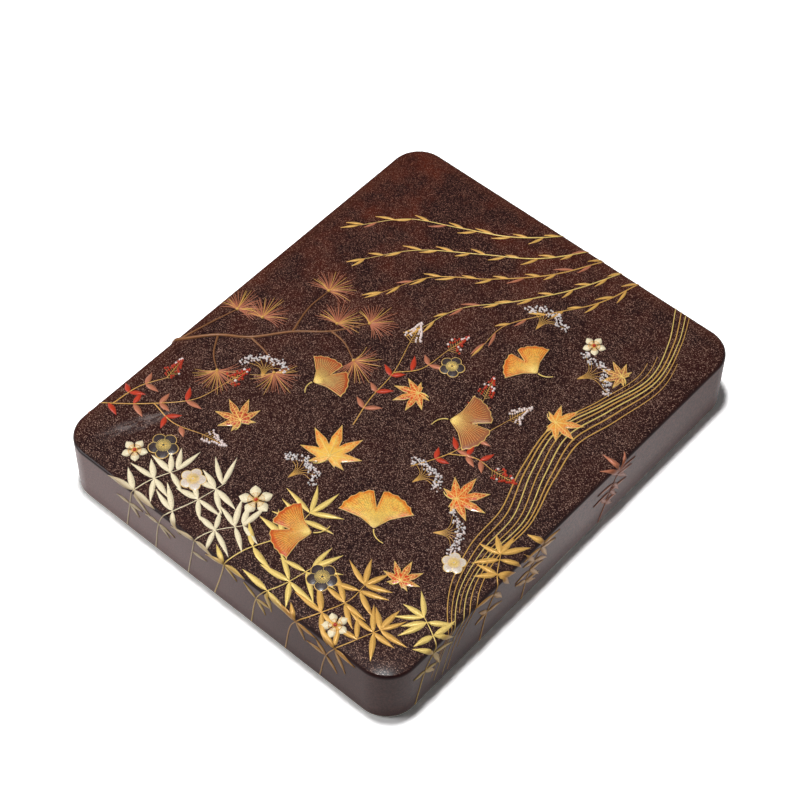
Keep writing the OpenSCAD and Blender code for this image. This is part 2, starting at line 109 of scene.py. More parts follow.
def ramp(value, low, high, outLow=0.0, outHigh=1.0):
    return nodeFrom("MapRange", {"Value": value, "From Min": low, "From Max": high,
                                 "To Min": outLow, "To Max": outHigh}, clamp=True).outputs[0]


def fade(value, low, high, first, second, share=1.0):
    # from the first colour towards the second as the value goes from low to high
    return mixed(ramp(value, low, high, 0.0, share), first, second)


def palette(factor, stops):
    made = nodeFrom("ValToRGB", {"Fac": factor})
    band = made.color_ramp
    while len(band.elements) < len(stops):
        band.elements.new(0.5)
    for element, (place, colour) in zip(band.elements, stops):
        element.position = place
        element.color = seen(*colour)
    return made.outputs["Color"]


def noise(where, scale, detail=3.0, rough=0.5, stretch=None):
    if stretch:
        where = nodeFrom("Mapping", {"Vector": where, "Scale": stretch}).outputs[0]
    return nodeFrom("TexNoise", {"Vector": where, "Scale": scale, "Detail": detail,
                                 "Roughness": rough}).outputs["Fac"]


def attribute(mat, name):
    return nodeIn(mat.node_tree, "Attribute", attribute_name=name).outputs["Fac"]


def axesOf(where):
    return nodeFrom("SeparateXYZ", {"Vector": where}).outputs


def nearCorner(axes):
    # grows towards the corner nearest to the camera
    return sums("SUBTRACT", axes["X"], axes["Y"])


def flakesIn(where, scale, share, inner, outer):
    # a speck in each of the chosen share of the cells, and the random numbers of the cells
    cells = nodeFrom("TexVoronoi", {"Vector": where, "Scale": scale}).outputs
    pick = nodeFrom("SeparateColor", {"Color": cells["Color"]}).outputs
    chosen = sums("LESS_THAN", pick["Red"], share)
    return times(chosen, ramp(cells["Distance"], inner, outer, 1.0, 0.0)), pick


def addObject(name, data):
    made = bpy.data.objects.new(name, data)
    bpy.context.scene.collection.objects.link(made)
    return made


def meshOf(bm, name):
    mesh = bpy.data.meshes.new(name)
    bm.to_mesh(mesh)
    bm.free()
    return mesh


def finishPiece(mesh, name, materials, body, replaced=()):
    piece = addObject(name, mesh)
    mesh.materials.clear()
    for mat in materials if isinstance(materials, (list, tuple)) else [materials]:
        mesh.materials.append(mat)
    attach(piece, body)
    if replaced:
        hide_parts(*replaced)
    return piece


def pieceFrom(bm, name, materials, body, replaced=(), sharp=35):
    # turns a bmesh in millimetres into a finished piece that rides on a body
    bmesh.ops.scale(bm, vec=(mm, mm, mm), verts=bm.verts[:])
    for face in bm.faces:
        face.smooth = True
    for edge in bm.edges:
        edge.smooth = len(edge.link_faces) != 2 or edge.calc_face_angle(0) < radians(sharp)
    return finishPiece(meshOf(bm, name), name, materials, body, replaced)


def linesFrom(lines, name, material, body, sides=1, closed=False):
    # round lines of changing thickness; a line is its points and their radii, all in millimetres
    curve = bpy.data.curves.new(name, "CURVE")
    curve.dimensions = "3D"
    curve.bevel_depth = mm
    curve.bevel_resolution = sides
    curve.use_fill_caps = True
    for points, radii in lines:
        spline = curve.splines.new("POLY")
        spline.points.add(len(points) - 1)
        spline.use_cyclic_u = closed
        for knot, point, radius in zip(spline.points, points, radii):
            knot.co = (*(Vector(point)*mm), 1)
            knot.radius = radius
    drawn = addObject(name, curve)
    mesh = bpy.data.meshes.new_from_object(drawn.evaluated_get(bpy.context.evaluated_depsgraph_get()))
    bpy.data.objects.remove(drawn)
    bpy.data.curves.remove(curve)
    mesh.polygons.foreach_set("use_smooth", [True]*len(mesh.polygons))
    return finishPiece(mesh, name, material, body)


def evenNormals(piece):
    # keeps flat faces flat where they meet rounded edges
    made = piece.modifiers.new("evenNormals", "WEIGHTED_NORMAL")
    made.keep_sharp = True
    made.weight = 100


view = {
    "place": (0.40808, -0.47923, 0.84910),
    "aim": (0.00242, -0.00579, 0.034),
    "roll": 0.895,          # degrees
    "lens": 103.56,         # mm on a 36 mm sensor
}
towards = Vector(view["aim"]) - Vector(view["place"])
camera = addObject("camera", bpy.data.cameras.new("camera"))
camera.data.lens = view["lens"]
camera.data.sensor_width = 36
camera.data.clip_end = 50
camera.matrix_world = (Matrix.Translation(view["place"])
                       @ towards.to_track_quat("-Z", "Y").to_matrix().to_4x4()
                       @ Matrix.Rotation(radians(view["roll"]), 4, "Z"))
bpy.context.scene.camera = camera
bpy.context.scene.view_settings.view_transform = "Standard"

studio = {
    "floorRadius": 6.0,
    "floorAlbedo": 0.80,
    "floorLift": 2.1,             # the floor is this much paler to the camera, so that it reads white
    "skyLow": 0.6,                # world at the horizon
    "skyHigh": 0.03,              # world overhead, dark so that the flat lid mirrors nothing pale
    "skyRamp": (0.05, 0.30),      # sine of the elevation where it falls from one to the other
    "cornerRun": (0.09, 0.17),    # m along x - y, where the mirrored floor falls into shade
    "cornerLit": 0.55,            # share of its light left there
    "farRun": (0.02, 0.12),       # the same along y
    "farLit": 0.6,
}
lamps = {
    "key": {"size": 0.19, "place": (-0.08, -0.025, 1.50), "watts": 8.0, "mirrored": False},
    "glint": {"size": 0.19, "place": (-0.08, -0.025, 1.50), "watts": 10.0},   # the share that gloss shows
    "left": {"size": 0.70, "place": (-1.00, -1.10, 0.75), "watts": 10.0},
    "right": {"size": 0.70, "place": (1.25, 0.55, 0.75), "watts": 0.7},
}


def makeFloor():
    bm = bmesh.new()
    bmesh.ops.create_circle(bm, cap_ends=True, segments=96, radius=studio["floorRadius"])
    floor = addObject("floor", meshOf(bm, "floor"))
    mat = bpy.data.materials.new("paperFloor")
    mat.use_nodes = True
    tree = mat.node_tree
    tree.nodes.clear()
    rays = nodeIn(tree, "LightPath").outputs
    albedo = studio["floorAlbedo"]
    lift = albedo*studio["floorLift"]
    plain = nodeIn(tree, "BsdfDiffuse", {"Color": (albedo, albedo, albedo, 1)}).outputs[0]
    pale = nodeIn(tree, "BsdfDiffuse", {"Color": (lift, lift, lift, 1)}).outputs[0]
    white = nodeIn(tree, "Emission", {"Color": (1, 1, 1, 1), "Strength": 1.0}).outputs[0]
    dark = nodeIn(tree, "Emission", {"Color": (0, 0, 0, 1), "Strength": 0.0}).outputs[0]

    def between(share, first, second):
        return nodeFrom("MixShader", {0: share, 1: first, 2: second}).outputs[0]

    # the camera sees the paler floor; what is mirrored straight to it is half of that and half white
    mirrored = sums("ADD", rays["Is Glossy Ray"], rays["Is Transmission Ray"], clamp=True)
    mirrored = times(mirrored, sums("LESS_THAN", rays["Diffuse Depth"], 0.5))
    # the mirrored floor is shaded in front of the near corner and beside the far end of the right wall
    axes = axesOf(nodeIn(tree, "TexCoord").outputs["Object"])
    lit = times(ramp(nearCorner(axes), *studio["cornerRun"], 1.0, studio["cornerLit"]),
                ramp(axes["Y"], *studio["farRun"], 1.0, studio["farLit"]))
    shaded = between(lit, dark, between(0.5, pale, white))
    seenBy = between(mirrored, between(rays["Is Camera Ray"], plain, pale), shaded)
    nodeIn(tree, "OutputMaterial", {"Surface": seenBy})
    floor.data.materials.append(mat)


def makeWorld():
    world = bpy.data.worlds.new("studio")
    world.use_nodes = True
    bpy.context.scene.world = world
    tree = world.node_tree
    tree.nodes.clear()
    where = nodeIn(tree, "TexCoord").outputs["Generated"]
    level = ramp(axesOf(where)["Z"], *studio["skyRamp"], studio["skyLow"], studio["skyHigh"])
    sky = nodeIn(tree, "Background", {"Color": (1, 1, 1, 1), "Strength": level})
    nodeIn(tree, "OutputWorld", {"Surface": sky.outputs[0]})


def makeLamp(name, facts):
    data = bpy.data.lights.new(name, "AREA")
    data.shape = "DISK"
    data.size = facts["size"]
    data.energy = facts["watts"]
    lamp = addObject(name, data)
    lamp.visible_glossy = facts.get("mirrored", True)
    place = Vector(facts["place"])
    turn = (Vector((0, 0, 0.03)) - place).to_track_quat("-Z", "Y").to_matrix().to_4x4()
    lamp.matrix_world = Matrix.Translation(place) @ turn


makeFloor()
makeWorld()
for lampName, lampFacts in lamps.items():
    makeLamp(lampName, lampFacts)
print("stage ready")

lid = {
    "width": 195, "depth": 240, "top": 34,      # mm
    "cornerRadius": 15,
    "wall": 3.5,
    "topThickness": 4,
    "wallFoot": 1.8,
    "fallWidth": 12,
    "fallAngle": radians(11),     # the slope where the border meets the shoulder
    "shoulderRadius": 1.6,
    "cornerSteps": 18,
    "fallSteps": 8,
    "shoulderSteps": 7,
}
cornerRadius, fallWidth, fallAngle, shoulder = (
    lid[key] for key in ("cornerRadius", "fallWidth", "fallAngle", "shoulderRadius"))
innerX, innerY = lid["width"]/2 - cornerRadius, lid["depth"]/2 - cornerRadius
fallRun = fallWidth - shoulder*(1 - sin(fallAngle))
fallRadius = fallRun/sin(fallAngle)
fallDrop = fallRadius*(1 - cos(fallAngle))
shoulderZ = lid["top"] - fallDrop - shoulder*cos(fallAngle)


def onLid(u, v, lift=0.0):
    # a point on the lid, from the way along its skin from the middle of the top
    nearest = Vector((max(-innerX, min(innerX, u)), max(-innerY, min(innerY, v)), lid["top"]))
    away = Vector((u - nearest.x, v - nearest.y, 0))
    rest = away.length - (cornerRadius - fallWidth)
    up = Vector((0, 0, 1))
    if rest <= 0:
        return nearest + away + up*lift
    out = away.normalized()
    tilt = min(rest/fallRadius, fallAngle)
    reach = cornerRadius - fallWidth + fallRadius*sin(tilt)
    drop = fallRadius*(1 - cos(tilt))
    rest -= fallRadius*fallAngle
    if rest > 0:
        tilt = min(fallAngle + rest/shoulder, pi/2)
        reach = cornerRadius - shoulder*(1 - sin(tilt))
        drop += shoulder*(cos(fallAngle) - cos(tilt))
        drop += max(0, rest - shoulder*(pi/2 - fallAngle))
    return nearest + out*reach - up*drop + (out*sin(tilt) + up*cos(tilt))*lift


outside = {
    "cell": 0.45,                    # mm, one cell of the ground
    "share": 0.68,                   # share of the cells that hold a flake
    "ground": seen(34, 17, 18),
    "cloud": seen(86, 34, 20),       # red-brown clouds, towards the back
    "flake": seen(186, 148, 130),
    "backFlake": seen(138, 76, 54),
    "darkFlake": seen(84, 55, 46),
    "border": seen(72, 32, 20),      # rubbed through to red-brown along the left and back edges
    "borderWidth": 8,                # mm
    "scuff": {"from": (-84, -112), "to": (-66, -72), "width": 9, "colour": seen(150, 140, 138)},
    "wall": (seen(62, 30, 26), seen(104, 60, 53)),
    "wallNearShade": seen(30, 15, 13),    # painted shade: the walls are darker towards the near corner
    "nearShadeShare": 0.46,               # how far the painted shade reaches towards it
}
inside = {                           # gold flakes on red-brown, inside the lid, the body and the trays
    "cell": 0.55, "share": 0.58,
    "ground": seen(58, 24, 14),
    "cloud": seen(84, 34, 16),
    "flake": seen(214, 156, 78),
    "darkFlake": seen(140, 82, 36),
}


def scuffShare(axes, scuff):
    # pale rubbing in streaks along a line on the top, thinning out to its ends and sides
    start, end = Vector(scuff["from"]), Vector(scuff["to"])
    run = (end - start).normalized()
    fromX, fromY = (sums("SUBTRACT", axes[key], at*mm) for key, at in zip("XY", start))
    along = sums("ADD", times(fromX, run.x), times(fromY, run.y))
    across = sums("SUBTRACT", times(fromX, run.y), times(fromY, run.x))
    streak = nodeFrom("CombineXYZ", {"X": times(along, 0.25), "Y": across}).outputs[0]
    rubbed = ramp(noise(streak, 420.0, 4.0, 0.7), 0.42, 0.62)
    reach, width = (end - start).length*mm, scuff["width"]*mm
    middle = sums("ABSOLUTE", sums("SUBTRACT", along, reach/2))
    rubbed = times(rubbed, ramp(middle, 0.1*reach, 0.5*reach, 1.0, 0.0))
    return times(rubbed, ramp(sums("ABSOLUTE", across), 0.1*width, width/2, 0.5, 0.0))


def sprinkledLacquer(name, facts, edgeAt=None, coat=0.34, coatRoughness=0.17):
    mat, where = startMaterial(name, Roughness=0.42, Coat_Weight=coat, Coat_Roughness=coatRoughness,
                               Specular_IOR_Level=0.10)
    axes = axesOf(where)
    patches = noise(where, 60.0, 4.0, 0.6)
    limit = ramp(patches, 0.32, 0.68, facts["share"] - 0.22, facts["share"] + 0.1)
    flake, pick = flakesIn(where, 1/(facts["cell"]*mm), limit, 0.36, 0.56)
    flakeShare, flakeTone = flake, facts["flake"]
    towardsBack = sums("SUBTRACT", axes["Y"], axes["X"])
    if "backFlake" in facts:
        flakeTone = fade(towardsBack, 0.0, 0.20, flakeTone, facts["backFlake"], 0.8)
    tone = mixed(sums("POWER", pick["Green"], 2.3), facts["darkFlake"], flakeTone)
    cloudy = ramp(noise(where, 38.0, 5.0, 0.65), 0.44, 0.64, 0.0, 0.85)
    cloudy = times(cloudy, ramp(towardsBack, 0.0, 0.16, 0.15, 1.0))
    ground = mixed(cloudy, facts["ground"], facts["cloud"])
    if "border" in facts:
        left, back, width = -lid["width"]/2*mm, lid["depth"]/2*mm, facts["borderWidth"]*mm
        worn = sums("MAXIMUM", ramp(axes["X"], left, left + width, 1.0, 0.0),
                    ramp(axes["Y"], back - width, back))
        worn = times(worn, ramp(towardsBack, -0.03, 0.06, 0.55, 0.9))
        ground = mixed(worn, ground, facts["border"])
    if edgeAt is not None:
        # no flakes from the shoulder down, a dark shoulder, and a plain brown wall with painted shade
        # towards the near corner
        onTop = ramp(axes["Z"], (edgeAt + 1.35)*mm, (edgeAt + 1.75)*mm)
        flakeShare = times(flake, onTop)
        haze = noise(where, 1000.0, 4.0, 0.8)
        wall = fade(haze, 0.36, 0.64, *facts["wall"])
        # painted shade: the wall colour darkens towards the near corner, where less light falls
        wall = fade(nearCorner(axes), *studio["cornerRun"], wall, facts["wallNearShade"], facts["nearShadeShare"])
        above = ramp(axes["Z"], (edgeAt - 0.5)*mm, (edgeAt + 0.7)*mm)
        ground = mixed(above, wall, ground)
        flake = sums("ADD", flake, times(haze, sums("SUBTRACT", 1.0, above)))
    colour = mixed(flakeShare, ground, tone)
    if "scuff" in facts:
        colour = mixed(scuffShare(axes, facts["scuff"]), colour, facts["scuff"]["colour"])
    return finishMaterial(mat, colour, flake, 0.2, 0.04)


lidLacquer = sprinkledLacquer("lidLacquer", outside, shoulderZ)
wallLacquer = sprinkledLacquer("wallLacquer", outside, shoulderZ, 0.16, 0.45)
insideLacquer = sprinkledLacquer("insideLacquer", inside)


def roundedBox(width, depth, radius, z0, z1, steps):
    # an upright block with rounded corners, open at the bottom
    bm = bmesh.new()
    size = Matrix.Diagonal((width, depth, z1 - z0, 1))
    bmesh.ops.create_cube(bm, size=1, matrix=Matrix.Translation((0, 0, (z0 + z1)/2)) @ size)
    upright = [e for e in bm.edges if abs(e.verts[0].co.z - e.verts[1].co.z) > (z1 - z0)/2]
    bmesh.ops.bevel(bm, geom=upright, offset=radius, offset_type="OFFSET", affect="EDGES",
                    segments=steps, profile=0.5, material=-1)
    under = [f for f in bm.faces if f.normal.z < -0.9]
    bmesh.ops.delete(bm, geom=under, context="FACES_ONLY")
    return bm


def topFace(bm):
    return max((f for f in bm.faces if f.normal.z > 0.9), key=lambda f: f.calc_area())


def makeLidShell():
    shoulderReach = shoulder*(1 - sin(fallAngle))
    rise = shoulderReach*tan(fallAngle)
    bm = roundedBox(lid["width"], lid["depth"], cornerRadius, lid["wallFoot"],
                    lid["top"] - fallDrop - rise, lid["cornerSteps"])
    outline = list(topFace(bm).edges)
    bmesh.ops.inset_region(bm, faces=[topFace(bm)], thickness=shoulderReach, use_even_offset=True,
                           depth=rise)
    steps = lid["fallSteps"]
    for k in range(steps):
        outer, inner = fallAngle*(steps - k)/steps, fallAngle*(steps - k - 1)/steps
        bmesh.ops.inset_region(bm, faces=[topFace(bm)], use_even_offset=True,
                               thickness=fallRadius*(sin(outer) - sin(inner)),
                               depth=fallRadius*(cos(inner) - cos(outer)))
    # the shoulder is rounded last, over the corner where the border meets the wall
    bmesh.ops.bevel(bm, geom=outline, offset=shoulder*tan((pi/2 - fallAngle)/2),
                    offset_type="OFFSET", affect="EDGES", segments=lid["shoulderSteps"], profile=0.5,
                    material=-1, clamp_overlap=False)
    for face in bm.faces:
        face.material_index = 2 if abs(face.normal.z) < 0.02 else 0
    wall = lid["wall"]
    hollow = roundedBox(lid["width"] - 2*wall, lid["depth"] - 2*wall, cornerRadius - wall,
                        lid["wallFoot"], lid["top"] - lid["topThickness"], lid["cornerSteps"])
    for face in hollow.faces:
        face.material_index = 1
    hollowMesh = meshOf(hollow, "hollow")
    bm.from_mesh(hollowMesh)
    bpy.data.meshes.remove(hollowMesh)
    bmesh.ops.bridge_loops(bm, edges=[e for e in bm.edges if len(e.link_faces) == 1])
    bmesh.ops.recalc_face_normals(bm, faces=bm.faces[:])
    evenNormals(pieceFrom(bm, "lidShell", (lidLacquer, insideLacquer, wallLacquer), "lid",
                          replaced=("lid_shell",)))


makeLidShell()
print("lid ready")

paints = {       # of the decoration: colour, metal share, roughness
    "gold": (seen(236, 184, 96), 0.25, 0.42),
    "paleGold": (seen(252, 220, 128), 0.20, 0.40),
    "roseGold": (seen(200, 124, 92), 0.25, 0.45),
    "darkGold": (seen(150, 100, 60), 0.25, 0.48),
    "cream": (seen(246, 232, 196), 0.0, 0.50),
    "silver": (seen(232, 226, 226), 0.2, 0.40),
    "red": (seen(196, 58, 30), 0.0, 0.40),
    "white": (seen(244, 226, 222), 0.0, 0.45),
}


def powderPaint(name):
    # metal powder set in lacquer: fine grains and thinner in places, with painted shade that makes it darker
    # and browner on the lid's walls
    colour, metal, rough = paints[name]
    mat, where = startMaterial(name + "Paint", Metallic=metal, Roughness=rough, Coat_Weight=0.3,
                               Coat_Roughness=0.15)
    dark, wallShade = ([part*share for part, share in zip(colour, shares)]
                  for shares in ((0.60, 0.52, 0.42, 1), (0.50, 0.42, 0.34, 1)))
    grains = noise(where, 2600.0, 2.0)
    worn = noise(where, 210.0, 4.0, 0.6)
    tone = fade(grains, 0.26, 0.46, dark, colour)
    tone = fade(worn, 0.24, 0.36, dark, tone)
    axes = axesOf(where)
    outX, outY = (sums("ABSOLUTE", sums("DIVIDE", axes[key], lid[side]*mm/2))
                  for key, side in (("X", "width"), ("Y", "depth")))
    # painted shade: darker and browner where the paint lies on the lid's walls
    tone = fade(sums("MAXIMUM", outX, outY), 0.985, 0.998, tone, wallShade)
    return finishMaterial(mat, tone, grains, 0.3, 0.05)


paintOf = {name: powderPaint(name) for name in paints}


def through(points, steps=8):
    # a smooth path through the given places
    knots = [Vector(p) for p in points]
    knots = [2*knots[0] - knots[1]] + knots + [2*knots[-1] - knots[-2]]
    path = []
    for a, b, c, d in zip(knots, knots[1:], knots[2:], knots[3:]):
        for k in range(steps):
            t = k/steps
            path.append(0.5*(2*b + (c - a)*t + (2*a - 5*b + 4*c - d)*t*t + (3*b - a - 3*c + d)*t**3))
    return path + [knots[-2]]


def towardsAngle(turn):
    return Vector((cos(radians(turn)), sin(radians(turn))))


def angleOf(direction):
    return degrees(atan2(direction.y, direction.x))


strokes = {name: [] for name in paints}


def stroke(paint, path, foot, belly, tip, lift=0.0):
    # a drawn line that swells from its foot to its belly and thins to its tip
    points, radii = [], []
    for k, place in enumerate(path):
        t = k/(len(path) - 1)
        radius = foot + (belly - foot)*t*3 if t < 1/3 else belly + (tip - belly)*((t - 1/3)*1.5)**1.4
        points.append(onLid(place.x, place.y, lift + 0.2*radius))
        radii.append(radius)
    strokes[paint].append((points, radii))


blades = {name: bmesh.new() for name in paints}


def blade(paint, foot, angle, length, width, bend=0.0, lift=0.0, belly=0.85):
    # a slim leaf on the lid: a small net drawn into a lens, with a raised midrib
    bm = blades[paint]
    foot = Vector(foot)
    for vert in bmesh.ops.create_grid(bm, x_segments=6, y_segments=2, size=0.5)["verts"]:
        along, across = vert.co.x + 0.5, vert.co.y*2
        middle = foot + towardsAngle(angle + bend*along/2)*length*along
        half = width/2*sin(pi*along**belly)
        place = middle + towardsAngle(angle + bend*along + 90)*half*across
        vert.co = onLid(place.x, place.y, lift + 0.10 + 0.22*(1 - abs(across)))


beads = {name: bmesh.new() for name in paints}
ball = bmesh.new()
bmesh.ops.create_uvsphere(ball, u_segments=8, v_segments=5, radius=1)
ballMesh = meshOf(ball, "ball")


def bead(paint, place, radius, lift=0.0):
    at = Matrix.Translation(onLid(place[0], place[1], lift + 0.3*radius)) @ Matrix.Scale(radius, 4)
    ballMesh.transform(at)
    beads[paint].from_mesh(ballMesh)
    ballMesh.transform(at.inverted())


pine = {
    "branch": [(-128, -66), (-110, -56), (-96, -46), (-84, -33), (-72, -24), (-60, -9), (-47, 3), (-37, 18)],
    "twigs": [[(-96, -46), (-92, -30), (-88, -16)], [(-72, -24), (-60, -26), (-50, -32)],
              [(-60, -9), (-64, 6), (-64, 20)], [(-47, 3), (-38, 2), (-28, -3)],
              [(-84, -33), (-78, -42), (-70, -48)]],
    "tufts": [(-88, -16, 100), (-50, -32, -30), (-64, 20, 96), (-28, -3, -8), (-37, 18, 62), (-70, -48, -42),
              (-76, -12, 110), (-48, 8, 100)],
    "needles": 30,
    "reach": 15,
    "spread": 190,
}


def makePine():
    stroke("darkGold", through(pine["branch"], 10), 1.0, 0.8, 0.3)
    for twig in pine["twigs"]:
        stroke("darkGold", through(twig, 6), 0.55, 0.4, 0.25)
    for x, y, facing in pine["tufts"]:
        count = pine["needles"]
        for k in range(count):
            fan = (k/(count - 1) - 0.5)*pine["spread"] + random.uniform(-3, 3)
            reach = pine["reach"]*random.uniform(0.75, 1.0)*(1 - 0.25*abs(fan)/95)
            mid = Vector((x, y)) + towardsAngle(facing + fan)*reach*0.5
            end = mid + towardsAngle(facing + fan*1.18)*reach*0.5
            paint = "roseGold" if random.random() < 0.72 else "gold"
            stroke(paint, through([(x, y), mid, end], 3), 0.16, 0.20, 0.07, 0.03)
        bead("gold", (x, y), 0.8)


stream = {
    "path": [(56, 150), (62, 126), (74, 102), (80, 78), (74, 52), (68, 28), (74, 4), (83, -20), (84, -44),
             (90, -66), (104, -82), (126, -90)],
    "lines": 7,
    "gap": 2.3,        # mm
    "swing": 0.30,     # share by which the gap widens and narrows
    "trim": (44, 40),  # most steps by which the outer lines start late and end early
}


def makeStream():
    path = through(stream["path"], 16)
    late, early = stream["trim"]
    for k in range(stream["lines"]):
        aside = (k - (stream["lines"] - 1)/2)*stream["gap"]
        line = []
        for i in range(1, len(path) - 1):
            across = (path[i + 1] - path[i - 1]).normalized()
            swing = 1 + stream["swing"]*sin(i*0.07 + k*0.4)
            line.append(path[i] + Vector((-across.y, across.x))*aside*swing)
        start = random.randint(0, late) if k not in (2, 3) else 0
        end = len(line) - (random.randint(0, early) if k not in (2, 4) else 0)
        stroke("paleGold" if k in (2, 4) else "gold", line[start:end], 0.12, 0.34, 0.12)


willow = {
    "strands": [[(14, 142), (10, 120), (-4, 100), (-26, 84), (-50, 66), (-66, 44)],
                [(24, 146), (20, 122), (8, 98), (-12, 76), (-34, 58), (-46, 34)],
                [(32, 142), (30, 120), (20, 96), (4, 72), (-12, 52), (-18, 30)],
                [(42, 146), (40, 120), (34, 98), (20, 76), (10, 58), (10, 42)],
                [(2, 140), (-6, 118), (-22, 102), (-44, 90), (-66, 78), (-82, 58)]],
    "leafGap": 6.5,
}


def makeWillow():
    for n, strand in enumerate(willow["strands"]):
        path = through(strand, 12)
        stroke("gold" if n % 2 else "paleGold", path, 0.22, 0.30, 0.10)
        gone, side = 0.0, 1
        for a, b in zip(path[8:], path[9:]):
            gone += (b - a).length
            if gone > willow["leafGap"]:
                gone, side = random.uniform(-1.5, 0.5), -side
                along = angleOf(b - a)
                blade("gold" if random.random() < 0.7 else "roseGold", b,
                      along + side*random.uniform(16, 30), random.uniform(7, 10), 1.5, -side*14)
        blade("gold", path[-2], angleOf(path[-1] - path[-2]), 9, 1.5)


bamboo = {
    "stems": [  # path, paint, leaf length
        ([(-58, -150), (-54, -130), (-50, -112), (-44, -98)], "cream", 15),
        ([(-40, -150), (-36, -128), (-28, -108), (-24, -90)], "cream", 16),
        ([(-20, -150), (-16, -130), (-12, -114), (-2, -100)], "cream", 15),
        ([(-4, -150), (2, -128), (6, -110), (14, -92), (14, -76)], "paleGold", 17),
        ([(18, -150), (22, -128), (30, -112), (34, -96)], "paleGold", 17),
        ([(38, -150), (42, -128), (50, -114), (56, -100), (56, -88)], "gold", 16),
        ([(58, -150), (62, -130), (70, -114), (76, -100)], "gold", 16),
        ([(128, -104), (108, -98), (96, -90), (84, -84)], "paleGold", 14),
        ([(128, -62), (110, -58), (96, -50), (88, -38)], "gold", 14),
        ([(128, -34), (112, -30), (98, -20)], "gold", 13),
        ([(128, 20), (112, 26), (100, 32)], "roseGold", 13),
    ],
    "width": 2.7,
}


def makeBamboo():
    for points, paint, length in bamboo["stems"]:
        path = through(points, 10)
        stroke(paint, path, 0.34, 0.30, 0.16)
        for share in (0.35, 0.55, 0.74, 0.90, 1.0):
            k = min(len(path) - 2, int(share*(len(path) - 1)))
            along = angleOf(path[k + 1] - path[k])
            fan = (-118, -78, 68, 108) if share < 1 else (-62, -20, 24, 66)
            for turn in fan:
                if random.random() < 0.78:
                    size = length*random.uniform(0.7, 1.0)*(0.75 if share < 0.5 else 1)
                    blade(paint, path[k], along + turn + random.uniform(-10, 10), size,
                          bamboo["width"]*random.uniform(0.85, 1.1), random.uniform(-16, 16), 0.05, 0.75)


nandina = {
    "stems": [[(-128, -104), (-108, -100), (-92, -92), (-78, -80), (-66, -66), (-62, -50)],
              [(-78, -80), (-64, -82), (-50, -78)], [(-92, -92), (-90, -78), (-84, -66)],
              [(-4, -30), (-8, -14), (-10, 4), (-16, 22)], [(-10, 4), (-2, 14), (0, 30)],
              [(30, -30), (38, -14), (42, 2), (46, 18)], [(38, -14), (48, -8), (58, -8)],
              [(42, 2), (34, 10), (30, 20)]],
    "clusters": [(-62, -50, 78, "red"), (-50, -78, 10, "white"), (-84, -66, 100, "red"),
                 (-16, 22, 105, "white"), (0, 30, 80, "red"), (46, 18, 75, "white"), (58, -8, 5, "red"),
                 (30, 20, 110, "red")],
    "berries": 20,
    "clusterLength": 13,
}


def makeNandina():
    for points in nandina["stems"]:
        path = through(points, 8)
        stroke("gold", path, 0.26, 0.24, 0.12)
        for k in range(5, len(path) - 6, 5):
            along = angleOf(path[k + 1] - path[k])
            for side in (-1, 1):
                if random.random() < 0.8:
                    blade("red" if random.random() < 0.6 else "roseGold", path[k],
                          along + side*random.uniform(38, 62), random.uniform(6, 9), 2.6, side*14, 0.0, 0.8)
    for x, y, facing, paint in nandina["clusters"]:
        foot, axis, length = Vector((x, y)), towardsAngle(facing), nandina["clusterLength"]
        for k in range(nandina["berries"]):
            t = k/nandina["berries"]
            knot = foot + axis*length*t
            side = towardsAngle(facing + (60 if k % 2 else -60))*(1 - t)*random.uniform(2.0, 5.5)
            stroke("gold", [knot, knot + side*0.5, knot + side], 0.10, 0.10, 0.08)
            bead(paint if random.random() < 0.75 else "white", knot + side, random.uniform(0.5, 0.75))
            if random.random() < 0.5:
                bead(paint, knot + side*0.55, 0.5)
        stroke("gold", [foot, foot + axis*7, foot + axis*length], 0.14, 0.14, 0.08)


sprays = {
    # place, facing, reach
    "places": [(54, 56, 62, 15), (22, 66, 95, 14), (60, -50, 40, 14), (-6, -70, 80, 13), (-52, -38, 120, 13),
               (36, -36, 75, 12)],
    "stems": 7,
    "beads": 16,       # at the end of each stem
    "headRadius": 2.1,
}


def makeSprays():
    for x, y, facing, reach in sprays["places"]:
        foot = Vector((x, y))
        for k in range(sprays["stems"]):
            aside = k - (sprays["stems"] - 1)/2
            middle = foot + towardsAngle(facing + aside*7)*reach*0.5
            end = foot + towardsAngle(facing + aside*17)*reach*random.uniform(0.8, 1.0)
            stroke("gold", through([foot, middle, end], 4), 0.14, 0.13, 0.08)
            for n in range(sprays["beads"]):
                bead("silver" if random.random() < 0.75 else "white",
                     end + towardsAngle(random.uniform(0, 360))*sprays["headRadius"]*sqrt(random.random()),
                     random.uniform(0.34, 0.52))


blossoms = {       # painted flat
    "places": [(-8, -88, 7.0), (48, 76, 5.0), (-66, -104, 5.5), (60, -112, 5.5)],     # place, reach
    "petals": 5,
    "dots": 8,         # round the middle
}


def makeBlossoms():
    apart = 360/blossoms["petals"]
    for x, y, reach in blossoms["places"]:
        middle = Vector((x, y))
        spin = random.uniform(0, apart)
        for k in range(blossoms["petals"]):
            turn = spin + apart*k
            blade("cream", middle + towardsAngle(turn)*reach*0.1, turn, reach, reach*0.72, 0, 0.10, 1.25)
            for s in range(-2, 3):
                tip = middle + towardsAngle(turn + s*13)*reach*0.52
                stroke("gold", [middle, (middle + tip)/2, tip], 0.09, 0.09, 0.07, 0.35)
                bead("gold", tip, 0.26, 0.3)
        bead("red", middle, 0.9, 0.2)
        for k in range(blossoms["dots"]):
            bead("gold", middle + towardsAngle(360*k/blossoms["dots"])*1.1, 0.36, 0.25)


